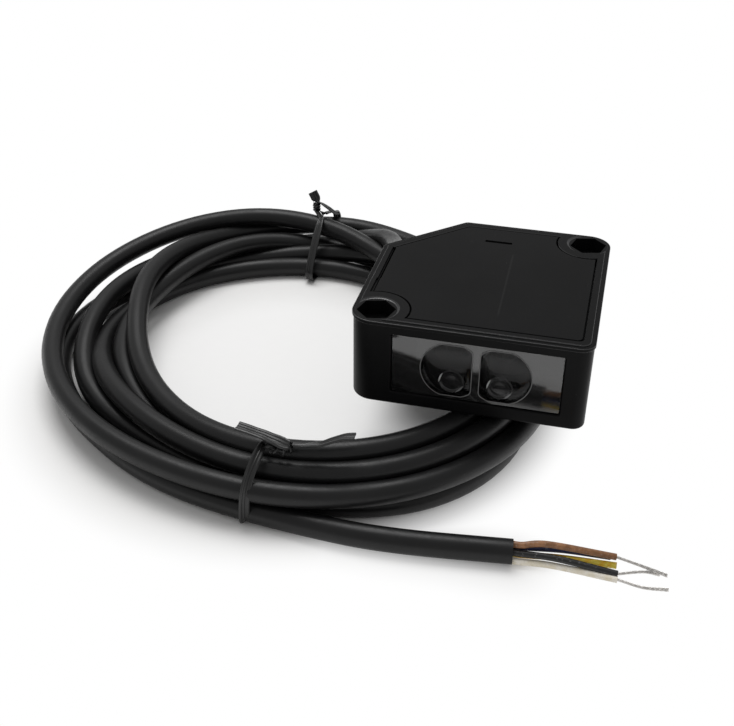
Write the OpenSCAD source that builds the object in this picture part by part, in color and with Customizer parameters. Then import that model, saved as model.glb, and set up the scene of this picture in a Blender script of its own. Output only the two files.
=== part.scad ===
// Compact square photoelectric sensor of the retroreflective kind, resting on its coiled cable.
// The origin is the centre of the housing. The window faces -Y, the cover +Z and the controls +X.
// The cable leaves the cut corner at the back left, is coiled below the housing and ends in front.

/* [Housing] */
// Side of the square housing
body_side = 50; // [50:0.5:54]
// Thickness of the housing, from its underside to its cover
body_thick = 20; // [20:0.5:23]
// Length that the cut corner takes off each side
cut_leg = 16.2; // [16:0.2:17]
// Radius of the plain corner at the front
plain_corner_r = 3; // [2:0.5:4]
// Thickness of the floor
floor_thick = 2; // [1.8:0.1:2.2]
// How far the side walls stand in from the edge of the top flange
skirt_in = 0.28; // [0.2:0.02:0.4]
// How far the raised top rim stands in from the edge of the top flange
rim_in = 1; // [0.8:0.1:1.2]
// Height of the raised top rim
rim_h = 0.3; // [0.2:0.1:0.4]
// Height of the flange round the top
flange_h = 0.8; // [0.6:0.1:1]

/* [Fixing holes] */
// Distance between the fixing holes, along each side
hole_pitch = 40; // [39:0.5:40]
// Radius of the fixing holes
hole_r = 2.25; // [2.15:0.05:2.4]
// Width of the nut pockets across flats
nut_flats = 7.1; // [7:0.1:7.4]
// Depth of the nut pockets
nut_depth = 3.5; // [3:0.5:4]
// Direction of a corner of each nut pocket
nut_turn = 15; // [0:15:30]

/* [Cover] */
// Thickness of the cover
cover_thick = 1.8; // [1.6:0.1:2]
// Distance from the flange's edge to the cover's edge
cover_margin = 2.6; // [2.4:0.1:2.8]
// Radius of the cover's notches round the fixing holes
notch_r = 7; // [6.8:0.1:7.2]
// Width of the ledge that carries the gasket
ledge_w = 1; // [0.8:0.1:1.2]
// Thickness of the gasket
gasket_thick = 0.5; // [0.4:0.1:0.6]
// Size of the small recess near the cover's back edge
mark_size = [6.7, 1.1, 0.3];
// Distance of the small recess from the middle
mark_y = 15.9; // [15:0.5:17]

/* [Optics] */
// Width of the front window
window_w = 35; // [34:0.5:36]
// Height of the front window
window_h = 13.6; // [13.4:0.2:14]
// Thickness of the front window
window_thick = 1.2; // [1:0.1:1.4]
// How far the front window is sunk into the face
window_sunk = 0.5; // [0.3:0.1:0.7]
// Gap between the opening for the lenses and the wall round the fixing hole beside it
optics_gap = 1.3; // [1:0.1:1.6]
// Radius of each lens
lens_r = 6.6; // [6.4:0.1:6.7]
// Distance between the axes of the lenses
lens_pitch = 10; // [9.8:0.1:10.2]
// Gap between the flat sides of the lenses
lens_gap = 1.4; // [1.2:0.1:1.6]
// Height of the lenses between their flats
lens_h = 12.4; // [12.2:0.1:12.4]
// Thickness of the rim of each lens
lens_rim = 1.5; // [1.2:0.1:1.8]
// How far each lens bulges inwards
lens_bulge = 2.2; // [2:0.1:2.4]

/* [Controls] */
// Radius of the adjuster's head
adjuster_r = 2.2; // [2:0.1:2.3]
// Travel of the selector
selector_travel = 2; // [1.6:0.2:2]
// Width of the selector's knob
knob_w = 1.8; // [1.6:0.1:2]
// Radius of the indicators
indicator_r = 1.5; // [1.3:0.1:1.5]

/* [Cable] */
// Diameter of the cable
cable_d = 5; // [4.8:0.1:5.2]
// Diameter of each insulated conductor
wire_d = 1.3; // [1.2:0.05:1.3]
// Diameter of each twist of bare strands
strand_d = 0.6; // [0.4:0.1:0.6]
// How far the gland stands out from the cut corner
gland_out = 3; // [2.6:0.2:3.2]

/* [Coil] */
// Outer radius of the coil's round ends
coil_out = 53.5; // [53:0.5:55]
// Inner radius of the coil's round ends
coil_in = 32; // [31:0.5:33]
// Half the distance between the centres of the round ends
coil_half = 13; // [12:1:14]
// Direction of the coil's long axis
coil_turn = -40; // [-42:1:-38]
// Layers of cable in the coil
coil_layers = 3; // [2:1:3]
// Width of the ribbon of the ties
tie_w = 2.8; // [2.4:0.2:3]
// Thickness of the ribbon of the ties
tie_t = 0.6; // [0.5:0.1:0.7]

/* [Hidden] */
$fn = 64;

// Clearances
// Round a piece that is laid or glued in
laid = 0.05;
// Round a piece that turns
turning = 0.05;
// Round a piece that slides
sliding = 0.1;
// How far a cut runs past the surface that it opens
over = 1;

// Heights and sides of the housing
half = body_side / 2;
top_z = body_thick / 2;
under_z = -top_z;
floor_z = under_z + floor_thick;
ledge_z = top_z - cover_thick - gasket_thick;
face_at = half - skirt_in;
cavity_in = cover_margin + ledge_w;
inner_at = half - cavity_in;
cut_at = (body_side - cut_leg) / sqrt(2);
cut_corner_r = 1.5;
least_r = 0.6;
hole_at = hole_pitch / 2;
hole_spots = [[-hole_at, -hole_at], [hole_at, hole_at]];
hole_corner_r = half - hole_at;
boss_r = notch_r + ledge_w;

// Each side of the outline, as the direction that it faces and its distance from the middle
sides = [[-90, half], [0, half], [90, half], [135, cut_at], [180, half]];
// Radius of the corner that follows each side
corner_radii = [plain_corner_r, hole_corner_r, cut_corner_r, cut_corner_r, hole_corner_r];

// Depths of the optics behind the front face
window_front = -face_at + window_sunk;
window_back = window_front + window_thick;
holder_edge_w = 1;
holder_edge_h = 0.5;
opening_w = lens_pitch + 2 * lens_r + 2 * holder_edge_w;
opening_h = lens_h + 2 * holder_edge_h;
optics_x = boss_r - hole_at + optics_gap + opening_w / 2;
foot_w = 4;
foot_gap = 1;
holder_front = window_back + laid;
sheet_thick = 0.3;
lens_seat = holder_front + sheet_thick + lens_rim;
barrel_in = 0.8;
bulge_base_r = lens_r - barrel_in;
bulge_sphere_r = (bulge_base_r * bulge_base_r + lens_bulge * lens_bulge) / (2 * lens_bulge);
holder_back = -13;
holder_rear_wall = 1.5;
diode_flange_r = 2.9;
diode_flange_h = 1;
diode_r = 2.5;
diode_straight = 1.5;
leg_r = 0.25;
leg_hole_r = 0.35;
leg_spread = 1.27;
leg_out = 0.8;

// Boards and what stands on them, with the main board just clear of the ferrule on the cable
board_thick = 1.6;
cable_r = cable_d / 2;
ferrule_wall = 1;
ferrule_r = cable_r + ferrule_wall;
ferrule_gap = 0.1;
main_top = -ferrule_r - ferrule_gap;
main_z = main_top - board_thick;
post_h = main_z - floor_z;
post_r = 1.6;
peg_r = 0.7;
post_gap = 0.9;
post_spots = [[-17, -6.5], [17, -6.5], [-4, 18.6], [hole_at - boss_r - post_gap - post_r, 17.6]];
board_gap = 0.3;
main_front = -9.8;
optics_w = 29;
optics_top = 7;
optics_rear = holder_back + board_thick;
chip_spot = [4, -5.5];
chip_size = [7, 5, 1.6];
transformer_spot = [-13, -2];
core_size = [13, 5, 9];
winding_size = [9, 11, 7.4];
rectifier_spot = [4, 1.5];
rectifier_size = [6.5, 4.5, 2.6];
capacitor_spot = [-1.5, 0.5];
capacitor_r = 4;
capacitor_h = 10.2;
vent_w = 0.4;
relay_spot = [-5.8, 8.3];
relay_size = [15, 10, 10];
relay_case_in = 0.4;
relay_base_h = 1.5;
amplifier_size = [4, 1.2, 4];
shield_size = [10, 2.2, 8];
shield_wall = 0.3;
receiver_x = optics_x + lens_pitch / 2;
receiver_z = 2.8;
link_pins = 6;
link_pitch = 2;
link_x = -7;
link_front = optics_rear + shield_size[1] + board_gap;
link_depth = 2.4;
link_h = 2.5;
pin_w = 0.6;
pin_z = main_top + (link_h - pin_w) / 2;

// Controls in the end face, spaced evenly between the optics board and a fixing hole
control_front = 20.5;
control_back = 15.5;
control_w = 5.6;
lamp_flange_r = 1.9;
control_room = hole_at - boss_r - optics_rear;
control_gap = (control_room - 2 * control_w - 4 * lamp_flange_r) / 5;
adjuster_y = hole_at - boss_r - control_gap - control_w / 2;
selector_y = adjuster_y - control_gap - control_w;
green_y = selector_y - control_w / 2 - control_gap - lamp_flange_r;
red_y = green_y - control_gap - 2 * lamp_flange_r;
spigot_r = 1.2;
spigot_in = 2.5;
collar_r = 2.8;
collar_gap = 0.1;
head_sunk = 0.4;
slot_w = 0.8;
slot_depth = 0.7;
slider_w = 3;
slider_h = 2.4;
slider_depth = 1.3;
channel_edge = 1;
knob_sunk = 0.5;
lamp_flange_x = 18.4;
lamp_flange_h = 0.8;
lamp_leg_w = 0.5;

// Distances along the cable's axis, out through the middle of the cut corner
cut_face = cut_at - skirt_in;
cut_inner = cut_at - cavity_in;
seal_wall = 1.1;
bore_r = cable_r + seal_wall;
seal_from = cut_inner;
seal_len = 2;
gland_wall = 1.5;
gland_r = cable_r + gland_wall;
gland_end = cut_face + gland_out;
ferrule_len = 2.2;
entry_out = 1;
entry_from = cut_inner - ferrule_len - entry_out;
inner_lead_r = 0.5;
lead_stub = 0.8;
lead_knee_z = -1.4;
// Distance of the row of soldered joints, and each joint's place along the row
lead_row = 12.4;
lead_joints = [-6, -3.6, -1.6, 0.4, 2.4];
// Start of each inner lead on the end of the cable, sideways and up
lead_starts = [[-1.35, 0], [0, 1.35], [0, 0], [0, -1.35], [1.35, 0]];

// Coil of cable that lies below the housing
coil_middle = [-46, 4.5];
layer_step = 0.9;
coil_h = cable_d * (1 + (coil_layers - 1) * layer_step);
ground_z = under_z - coil_h;
coil_axis = [cos(coil_turn), sin(coil_turn)];
round_end_front = coil_middle + coil_half * coil_axis;
round_end_back = coil_middle - coil_half * coil_axis;
tie_front_turn = -92.7;
tie_back_turn = 87;

// Route of the cable from the gland down into the coil
gland_dir = [-1, 1, 0] / sqrt(2);
gland_exit = gland_end * gland_dir;
lead_route = [
    gland_exit, gland_exit + cable_d * gland_dir,
    [-25.8, 28.5, -1.3], [-28.2, 36.5, -4], [-30.8, 45.5, -7.8], [-34.4, 52.5, -11.4]
];

// Route of the free end, which leaves the coil at the front and lies on the ground
tail_z = ground_z + cable_r;
tail_end = [14.8, -51, tail_z];
tail_route = [
    [-20, -54, tail_z], [-11, -53.8, tail_z], [-2, -52.8, tail_z],
    tail_end - [cable_d, 0, 0], tail_end
];

// Routes of the conductors, measured from the middle of the cable's end
wire_stub = [1.5, 0, 0];
wire_r = wire_d / 2;
lie_z = wire_r - cable_r;
brown_route = [[0, 0.55, 1.5], [9.5, 1.3, 1.7], [19.6, 2.4, 0.9]];
blue_route = [[0, 1.3, 0.15], [9, 2, 0], [18.4, 3.4, -0.9]];
black_route = [[0, -0.2, -0.05], [9.5, -0.7, 0.1], [20, -0.7, -0.8]];
white_route = [[0, -0.9, -1.4], [10, -1.7, -1.6], [20.6, -2, lie_z + 0.1]];
yellow_route = [[0, -1.3, 0.9], [9.5, -0.6, 1.6], [19.3, 0.9, 0.4]];
strand_z = strand_d / 2 - cable_r;
strand_routes = [
    [brown_route[2], [24.4, 2.2, 0.2], [29.2, 2.3, -1.3]],
    [black_route[2], [24.6, 0.8, -1.2], [29, 1.2, strand_z + 0.1]],
    [white_route[2], [25, -1.8, strand_z + 0.3], [29.4, -1.2, strand_z]]
];

// Places where the ties are twisted together, and their free ends
front_knot = [-29.4, -46, -8.3];
front_ends = [[-42, -45.6, -6.2], [-18.6, -43.4, -6.4]];
back_knot = [-54.8, 61.2, -8.3];
back_ends = [[-57.2, 62.2, -4.2], [-49.6, 58.6, -8.9]];
knot_r = 1.4;
tie_pad = 0.8;
strip_w = 0.8 * tie_w;

function unit(v) = v / norm(v);

// Point where two lines meet, each given by the direction that it faces and its distance
function meet(a, p, b, q) = [p * sin(b) - q * sin(a), q * cos(a) - p * cos(b)] / sin(b - a);

function corner_r(i, inset) = max(corner_radii[i] - inset, least_r);

function corner_spot(i, inset) =
    let(a = sides[i], b = sides[(i + 1) % 5], in = inset + corner_r(i, inset))
    meet(a[0], a[1] - in, b[0], b[1] - in);

// Smooth curve through hand-placed points
function route_point(p, i, t) =
    let(
        b = p[i], c = p[i + 1],
        a = i > 0 ? p[i - 1] : 2 * b - c,
        d = i + 2 < len(p) ? p[i + 2] : 2 * c - b
    )
    (2 * b + (c - a) * t + (2 * a - 5 * b + 4 * c - d) * t * t
        + (3 * b - a - 3 * c + d) * t * t * t) / 2;

function smooth(p, steps) =
    concat([for (i = [0 : len(p) - 2], k = [0 : steps - 1]) route_point(p, i, k / steps)],
        [p[len(p) - 1]]);

// Points round one spot of a route, whose heading t is never along the direction in side
function ring(spot, t, r, n, side) =
    let(u = unit(cross(t, side)), v = cross(u, t))
    [for (k = [0 : n - 1]) spot + r * (u * cos(360 * k / n) + v * sin(360 * k / n))];

// Round tube along a route, cut square at both ends
module tube(route, r, n = 10, steps = 2, side = [0, 0, 1]) {
    p = smooth(route, steps);
    rings = len(p);
    last = len(route) - 1;
    headings = [
        route[1] - route[0],
        for (i = [1 : rings - 2]) p[i + 1] - p[i - 1],
        route[last] - route[last - 1]
    ];
    points = [for (i = [0 : rings - 1]) each ring(p[i], unit(headings[i]), r, n, side)];
    walls = [
        for (i = [0 : rings - 2], k = [0 : n - 1])
            let(m = (k + 1) % n)
            [i * n + k, i * n + m, i * n + n + m, i * n + n + k]
    ];
    start = [for (k = [n - 1 : -1 : 0]) k];
    end = [for (k = [0 : n - 1]) (rings - 1) * n + k];
    polyhedron(points, concat([start], walls, [end]));
}

// Outline of the housing, drawn in from its edge
module outline(inset = 0) {
    polygon([
        for (i = [0 : 4], e = [i, (i + 1) % 5])
            corner_spot(i, inset) + corner_r(i, inset) * [cos(sides[e][0]), sin(sides[e][0])]
    ]);
    for (i = [0 : 4])
        translate(corner_spot(i, inset)) circle(r = corner_r(i, inset));
}

// Outline that keeps clear of the fixing holes
module notched(inset) {
    difference() {
        outline(inset);
        for (spot = hole_spots)
            translate(spot) circle(r = notch_r + inset - cover_margin);
    }
}

// Flat shape given a height
module layer(z, h) {
    translate([0, 0, z]) linear_extrude(h) children();
}

// Flat shape standing upright, from a depth towards the window
module to_window(y, depth) {
    translate([0, y, 0]) rotate([90, 0, 0]) linear_extrude(depth) children();
}

// Round bar pointing at the end face
module to_end(y, x, length, r) {
    translate([x, y, 0]) rotate([0, 90, 0]) cylinder(r = r, h = length);
}

// Round bar along the axis of the cable in the cut corner
module to_cut(from, length, r) {
    rotate([90, 0, 225]) translate([0, 0, from]) cylinder(r = r, h = length);
}

// Box standing on a flat place, given by the corner nearest the front left
module box(spot, z, size) {
    translate([spot[0], spot[1], z]) cube(size);
}

// One of the two lens openings, -1 for the left one and 1 for the right one
module lens_shape(side, grow = 0) {
    far = lens_pitch + lens_r;
    intersection() {
        translate([optics_x + side * lens_pitch / 2, 0]) circle(r = lens_r + grow);
        translate([optics_x + side * (lens_gap / 2 - grow + far / 2), 0])
            square([far, lens_h + 2 * grow], center = true);
    }
}

// Bar with a straight ribbon's section from one point to another
module strip(from, to) {
    v = to - from;
    translate(from)
        rotate([0, -asin(v[2] / norm(v)), atan2(v[1], v[0])])
        translate([0, -strip_w / 2, -tie_t / 2])
        cube([norm(v), strip_w, tie_t]);
}

module housing() {
    color("#1f1f22")
    difference() {
        union() {
            difference() {
                union() {
                    layer(under_z, body_thick - rim_h - flange_h) outline(skirt_in);
                    layer(top_z - rim_h - flange_h, flange_h) outline();
                    layer(top_z - rim_h, rim_h) outline(rim_in);
                }
                layer(floor_z, ledge_z - floor_z) notched(cavity_in);
                layer(ledge_z, top_z - ledge_z + over) notched(cover_margin - laid);
            }
            for (spot = post_spots)
                translate([spot[0], spot[1], floor_z]) {
                    cylinder(r = post_r, h = post_h);
                    cylinder(r = peg_r, h = post_h + board_thick);
                }
        }
        for (spot = hole_spots)
            translate([spot[0], spot[1], 0]) {
                translate([0, 0, under_z - over]) cylinder(r = hole_r, h = body_thick + 2 * over);
                translate([0, 0, top_z - nut_depth]) rotate(nut_turn)
                    cylinder(r = nut_flats / 2 / cos(30), h = nut_depth + over, $fn = 6);
            }
        to_window(window_back, half)
            translate([optics_x, 0])
            square([window_w + 2 * laid, window_h + 2 * laid], center = true);
        to_window(over - inner_at, half)
            translate([optics_x, 0])
            square([opening_w, opening_h], center = true);
        to_end(adjuster_y, control_front, half, adjuster_r + turning);
        translate([control_front, selector_y - knob_w / 2 - selector_travel / 2 - sliding,
            -knob_w / 2 - sliding])
            cube([half, knob_w + selector_travel + 2 * sliding, knob_w + 2 * sliding]);
        for (y = [green_y, red_y])
            to_end(y, control_front, half, indicator_r + laid);
        to_cut(cut_inner - over, half, bore_r);
    }
}

module cover() {
    color("#222226")
    difference() {
        layer(top_z - cover_thick, cover_thick) notched(cover_margin);
        box([-mark_size[0] / 2, mark_y - mark_size[1] / 2], top_z - mark_size[2], mark_size + [0, 0, over]);
    }
}

module cover_gasket() {
    color("#101010")
    layer(ledge_z, gasket_thick)
        difference() {
            notched(cover_margin);
            notched(cavity_in);
        }
}

module front_window() {
    color("#55555c", 0.5)
    to_window(window_back, window_thick)
        translate([optics_x, 0])
        square([window_w, window_h], center = true);
}

// Lens with a flat front and a round back
module lens(side) {
    to_window(lens_seat, lens_rim) lens_shape(side);
    intersection() {
        to_window(lens_seat + lens_bulge, lens_bulge) lens_shape(side, -barrel_in - laid);
        translate([optics_x + side * lens_pitch / 2, lens_seat + lens_bulge - bulge_sphere_r, 0])
            sphere(r = bulge_sphere_r);
    }
}

module emitter_lens() {
    color("#8a8a90", 0.6) lens(-1);
}

module receiver_lens() {
    color("#8a8a90", 0.6) lens(1);
}

// Thin filter sheet in front of a lens
module polariser(side) {
    to_window(lens_seat - lens_rim, sheet_thick) lens_shape(side);
}

module emitter_polariser() {
    color("#5c5c66", 0.5) polariser(-1);
}

module receiver_polariser() {
    color("#5c5c66", 0.5) polariser(1);
}

module lens_holder() {
    holder_w = opening_w - 2 * laid;
    holder_h = opening_h - 2 * laid;
    foot_len = holder_back + inner_at - foot_gap;
    color("#141416")
    difference() {
        union() {
            to_window(holder_back, holder_back - holder_front)
                translate([optics_x, 0]) square([holder_w, holder_h], center = true);
            for (side = [-1, 1])
                translate([optics_x + side * lens_pitch - foot_w / 2, holder_back - foot_len, floor_z])
                    cube([foot_w, foot_len, over - floor_z - holder_h / 2]);
        }
        for (side = [-1, 1]) {
            to_window(lens_seat, half) lens_shape(side, laid);
            to_window(holder_back - holder_rear_wall, half) lens_shape(side, -barrel_in);
            translate([optics_x + side * lens_pitch / 2, holder_back + over, 0]) rotate([90, 0, 0])
                cylinder(r = diode_flange_r + laid, h = holder_rear_wall + 2 * over);
        }
    }
}

// Round diode that looks towards the window through its lens
module diode(side) {
    translate([optics_x + side * lens_pitch / 2, holder_back, 0]) rotate([90, 0, 0]) {
        cylinder(r = diode_flange_r, h = diode_flange_h);
        intersection() {
            translate([0, 0, diode_straight]) sphere(r = diode_r);
            cylinder(r = diode_flange_r, h = diode_straight + diode_r);
        }
        cylinder(r = diode_r, h = diode_straight);
        for (leg = [-1, 1])
            translate([leg * leg_spread, 0, -board_thick - leg_out])
                cylinder(r = leg_r, h = board_thick + leg_out);
    }
}

module emitter_led() {
    color("#5a1f24") diode(-1);
}

module receiver_photodiode() {
    color("#26262c") diode(1);
}

module optics_board() {
    color("#2d5a3a")
    difference() {
        translate([optics_x - optics_w / 2, holder_back, floor_z])
            cube([optics_w, board_thick, optics_top - floor_z]);
        for (side = [-1, 1], leg = [-1, 1])
            translate([optics_x + side * lens_pitch / 2 + leg * leg_spread, holder_back - over, 0])
                rotate([-90, 0, 0]) cylinder(r = leg_hole_r, h = board_thick + 2 * over);
        for (k = [0 : link_pins - 1])
            translate([link_x + k * link_pitch - pin_w / 2, holder_back - over, pin_z])
                cube([pin_w, board_thick + 2 * over, pin_w]);
    }
}

module amplifier_chip() {
    color("#1a1a1a")
    translate([receiver_x, optics_rear, receiver_z] - [amplifier_size[0], 0, amplifier_size[2]] / 2)
        cube(amplifier_size);
}

module receiver_shield() {
    color("#b8babd")
    translate([receiver_x, optics_rear, receiver_z] - [shield_size[0], 0, shield_size[2]] / 2)
        difference() {
            cube(shield_size);
            translate([shield_wall, -over, shield_wall])
                cube([shield_size[0] - 2 * shield_wall, shield_size[1] - shield_wall + over,
                    shield_size[2] - 2 * shield_wall]);
        }
}

module main_board() {
    color("#2d5a3a")
    difference() {
        layer(main_z, board_thick)
            intersection() {
                notched(cavity_in + board_gap);
                translate([-half, main_front]) square([body_side, body_side]);
            }
        for (spot = post_spots)
            translate([spot[0], spot[1], main_z - over])
                cylinder(r = peg_r + laid, h = board_thick + 2 * over);
    }
}

// Pin strip that joins the two boards
module board_link() {
    link_w = link_pins * link_pitch;
    color("#1a1a1a")
    box([link_x - link_pitch / 2, link_front], main_top, [link_w, link_depth, link_h]);
    color("#c8b060")
    for (k = [0 : link_pins - 1])
        translate([link_x + k * link_pitch - pin_w / 2, holder_back, pin_z])
            cube([pin_w, link_front + link_depth - holder_back, pin_w]);
}

module controller_chip() {
    color("#1a1a1a") box(chip_spot, main_top, chip_size);
}

module transformer() {
    translate([transformer_spot[0], transformer_spot[1], main_top + core_size[2] / 2]) {
        color("#8c8c90") cube(core_size, center = true);
        color("#b08a3c") cube(winding_size, center = true);
    }
}

module rectifier() {
    color("#1a1a1a") box(rectifier_spot, main_top, rectifier_size);
}

module capacitor() {
    color("#1d2b55")
    translate([capacitor_spot[0], capacitor_spot[1], main_top])
        difference() {
            cylinder(r = capacitor_r, h = capacitor_h);
            for (turn = [0, 90])
                rotate(turn) translate([0, 0, capacitor_h])
                    cube([1.4 * capacitor_r, vent_w, vent_w], center = true);
        }
}

module relay() {
    lid = relay_size - [2 * relay_case_in, 2 * relay_case_in, relay_base_h];
    color("#d8862a") {
        box(relay_spot, main_top, [relay_size[0], relay_size[1], relay_base_h]);
        box(relay_spot + [relay_case_in, relay_case_in], main_top + relay_base_h, lid);
    }
}

module adjuster_body() {
    color("#2a4f8f")
    difference() {
        box([control_back, adjuster_y - control_w / 2], main_top,
            [control_front - control_back, control_w, control_w / 2 - main_top]);
        to_end(adjuster_y, control_front - spigot_in - collar_gap, half, spigot_r + turning);
    }
}

module adjuster_rotor() {
    head_end = face_at - head_sunk;
    collar_len = inner_at - control_front - 2 * collar_gap;
    color("#d9d9d2")
    difference() {
        union() {
            to_end(adjuster_y, control_front - spigot_in, head_end - control_front + spigot_in, spigot_r);
            to_end(adjuster_y, control_front + collar_gap, collar_len, collar_r);
            to_end(adjuster_y, control_front + collar_gap, head_end - control_front - collar_gap, adjuster_r);
        }
        translate([head_end, adjuster_y, 0])
            cube([2 * slot_depth, 3 * adjuster_r, slot_w], center = true);
    }
}

module selector_body() {
    channel_w = slider_w + selector_travel + 2 * sliding;
    color("#2c2c30")
    difference() {
        box([control_back, selector_y - control_w / 2], main_top,
            [control_front - control_back, control_w, slider_h / 2 + channel_edge - main_top]);
        translate([control_front - slider_depth - sliding, selector_y - channel_w / 2,
            -slider_h / 2 - sliding])
            cube([half, channel_w, slider_h + 2 * sliding]);
    }
}

module selector_slider() {
    start_y = selector_y - selector_travel / 2;
    color("#d9d9d2") {
        translate([control_front - slider_depth, start_y - slider_w / 2, -slider_h / 2])
            cube([slider_depth, slider_w, slider_h]);
        translate([control_front - slider_depth, start_y - knob_w / 2, -knob_w / 2])
            cube([face_at - knob_sunk - control_front + slider_depth, knob_w, knob_w]);
    }
}

// Small lamp whose round tip is level with the end face
module indicator(y) {
    tip_x = face_at - indicator_r;
    to_end(y, lamp_flange_x, lamp_flange_h, lamp_flange_r);
    to_end(y, lamp_flange_x, tip_x - lamp_flange_x, indicator_r);
    translate([tip_x, y, 0]) sphere(r = indicator_r);
    for (side = [-1, 1])
        translate([lamp_flange_x - lamp_leg_w, y + side * indicator_r / 2 - lamp_leg_w / 2, main_top])
            cube([2 * lamp_leg_w, lamp_leg_w, -main_top]);
}

module indicator_green() {
    color("#3fae4f") indicator(green_y);
}

module indicator_red() {
    color("#c8322c") indicator(red_y);
}

module cable_gland() {
    color("#1b1b1d")
    difference() {
        union() {
            to_cut(seal_from + seal_len, gland_end - seal_from - seal_len, bore_r);
            to_cut(cut_face, gland_out, gland_r);
        }
        to_cut(seal_from, half, cable_r);
    }
}

module gland_seal() {
    color("#3a3a3a")
    difference() {
        to_cut(seal_from, seal_len, bore_r);
        to_cut(seal_from - over, seal_len + 2 * over, cable_r);
    }
}

module cable_ferrule() {
    color("#b8babd")
    difference() {
        to_cut(cut_inner - ferrule_len, ferrule_len, ferrule_r);
        to_cut(cut_inner - ferrule_len - over, ferrule_len + 2 * over, cable_r);
    }
}

// Conductors from the end of the cable to a row of joints on the main board
module inner_leads() {
    across = [1, 1, 0] / sqrt(2);
    colours = ["#5a3620", "#1c3566", "#141414", "#e8e6e0", "#e0c030"];
    for (k = [0 : 4]) {
        start = entry_from * gland_dir + lead_starts[k][0] * across + [0, 0, lead_starts[k][1]];
        joint = lead_row * gland_dir + lead_joints[k] * across + [0, 0, main_top];
        color(colours[k])
        tube([
            start, start - lead_stub * gland_dir,
            [joint[0], joint[1], lead_knee_z], joint + [0, 0, lead_stub], joint
        ], inner_lead_r, 8, side = across);
    }
}

module cord_entry() {
    color("#232327") to_cut(entry_from, gland_end - entry_from, cable_r);
}

module cord_lead() {
    color("#232327") tube(lead_route, cable_r);
}

// Oval with two round ends on the long axis of the coil
module oval(r) {
    translate(round_end_front) circle(r = r);
    translate(round_end_back) circle(r = r);
    translate(coil_middle) rotate(coil_turn) square([2 * coil_half, 2 * r], center = true);
}

module coil_block(inset = 0) {
    layer(ground_z + inset, coil_h - 2 * inset)
        difference() {
            oval(coil_out - inset);
            oval(coil_in + inset);
        }
}

// Ribbon round the bundle, level with the coil's outside
module tie_band(end_spot, turn) {
    difference() {
        intersection() {
            coil_block();
            translate([end_spot[0], end_spot[1], ground_z - over]) rotate(turn)
                translate([0, -tie_w / 2, 0]) cube([2 * coil_out, tie_w, coil_h + 2 * over]);
        }
        coil_block(tie_t);
    }
}

module cord_coil() {
    color("#232327")
    difference() {
        coil_block();
        tie_band(round_end_front, tie_front_turn);
        tie_band(round_end_back, tie_back_turn);
    }
}

module cord_tail() {
    color("#232327") tube(tail_route, cable_r);
}

// Insulated conductor from the end of the cable
module wire(route) {
    tube([for (p = concat([route[0], route[0] + wire_stub], [route[1], route[2]])) tail_end + p], wire_r, 8);
}

module wire_brown() {
    color("#8a5a34") wire(brown_route);
}

module wire_blue() {
    color("#22427e") wire(blue_route);
}

module wire_black() {
    color("#18181a") wire(black_route);
}

module wire_white() {
    color("#efece6") wire(white_route);
}

module wire_yellow() {
    color("#e8c832") wire(yellow_route);
}

module wire_strands() {
    color("#b9b3a8")
    for (route = strand_routes)
        tube([for (p = route) tail_end + p], strand_d / 2, 6);
}

// Band, twist and free ends of one tie
module tie(end_spot, turn, knot, ends) {
    reach = norm([knot[0], knot[1]] - end_spot);
    pad = end_spot + reach * [cos(turn), sin(turn)];
    tie_band(end_spot, turn);
    translate([pad[0], pad[1], under_z + (tie_pad - tie_t) / 2]) rotate(turn)
        cube([tie_w, tie_w, tie_pad + tie_t], center = true);
    strip([pad[0], pad[1], under_z + tie_pad], knot);
    translate(knot) sphere(r = knot_r);
    for (end = ends)
        strip(knot, end);
}

module tie_front() {
    color("#1b1b1b") tie(round_end_front, tie_front_turn, front_knot, front_ends);
}

module tie_back() {
    color("#1b1b1b") tie(round_end_back, tie_back_turn, back_knot, back_ends);
}

housing();
cover();
cover_gasket();
front_window();
emitter_lens();
receiver_lens();
emitter_polariser();
receiver_polariser();
lens_holder();
emitter_led();
receiver_photodiode();
optics_board();
amplifier_chip();
receiver_shield();
main_board();
board_link();
controller_chip();
transformer();
rectifier();
capacitor();
relay();
adjuster_body();
adjuster_rotor();
selector_body();
selector_slider();
indicator_green();
indicator_red();
cable_gland();
gland_seal();
cable_ferrule();
inner_leads();
cord_entry();
cord_lead();
cord_coil();
cord_tail();
wire_brown();
wire_blue();
wire_black();
wire_white();
wire_yellow();
wire_strands();
tie_front();
tie_back();
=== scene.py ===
# %% [markdown]
# # Square photoelectric sensor on its coiled cable
#
# The real object is a small black sensor that finds things by a beam of light. It rests on its own
# coiled cable. This lesson builds all that can be seen of it round a finished CAD model.
#
# The frame is the CAD model's: the origin is the centre of the housing, the window faces -Y, the cover
# +Z and the controls +X. Sizes are written in millimetres and become metres where a mesh is made.

# %% Load the CAD model
import math

import bmesh
import bpy
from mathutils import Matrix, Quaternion, Vector


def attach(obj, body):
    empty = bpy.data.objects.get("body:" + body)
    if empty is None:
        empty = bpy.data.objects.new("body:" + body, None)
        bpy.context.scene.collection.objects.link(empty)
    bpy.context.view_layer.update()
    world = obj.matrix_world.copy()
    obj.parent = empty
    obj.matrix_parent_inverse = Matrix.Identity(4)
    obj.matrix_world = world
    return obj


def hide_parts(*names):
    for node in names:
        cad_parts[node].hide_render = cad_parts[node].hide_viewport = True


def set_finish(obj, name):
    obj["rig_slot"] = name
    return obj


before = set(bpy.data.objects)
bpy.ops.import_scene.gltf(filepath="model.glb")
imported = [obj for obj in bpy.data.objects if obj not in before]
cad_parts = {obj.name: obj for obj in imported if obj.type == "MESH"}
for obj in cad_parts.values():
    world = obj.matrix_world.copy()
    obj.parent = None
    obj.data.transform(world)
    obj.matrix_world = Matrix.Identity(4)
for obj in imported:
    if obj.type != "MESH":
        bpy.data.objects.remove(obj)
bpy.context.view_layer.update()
MM = 0.001
HALF = 25.0  # half the side of the square housing
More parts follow.
